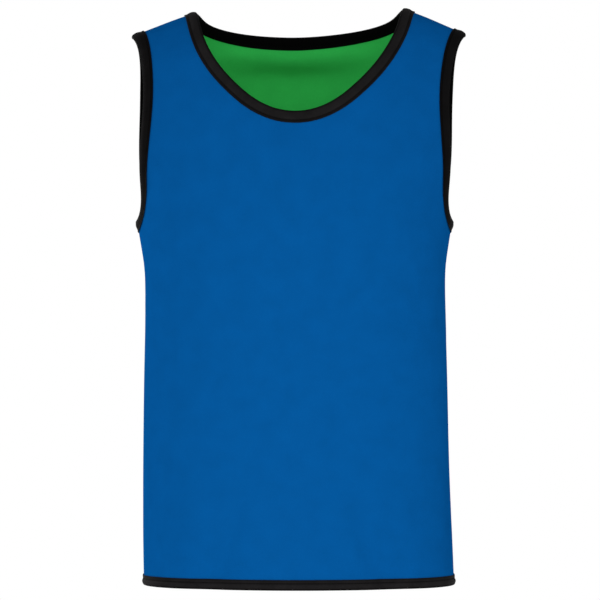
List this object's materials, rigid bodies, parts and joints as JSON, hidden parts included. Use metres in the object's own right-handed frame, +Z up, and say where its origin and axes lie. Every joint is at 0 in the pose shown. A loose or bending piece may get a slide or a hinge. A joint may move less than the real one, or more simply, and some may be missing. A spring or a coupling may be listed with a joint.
{
  "type": "reversible rugby bib",
  "caption": "Sleeveless two-layer sports bib in its hollow worn form, with a scoop neck, open armholes and a bound neck, armholes and hem.",
  "frame": {"origin": "midway between the two high shoulder points, on the level of the shoulder seams' inner ends, where the wearer's shoulders carry the bib", "axes": "+X towards the wearer's left, which is to the right as the front is seen; -Y out of the front; +Z up"},
  "size_m": [0.4017, 0.2263, 0.6908],
  "materials": {
    "outer_cloth": "matt royal blue polyester knit",
    "inner_cloth": "matt green polyester knit",
    "binding_tape": "matt black knitted tape"
  },
  "bodies": {
    "root": {"front_outer": "outer_cloth", "back_outer": "outer_cloth", "front_inner": "inner_cloth", "back_inner": "inner_cloth", "neck_binding": "binding_tape", "left_armhole_binding": "binding_tape", "right_armhole_binding": "binding_tape", "hem_binding": "binding_tape"}
  },
  "joints": []
}
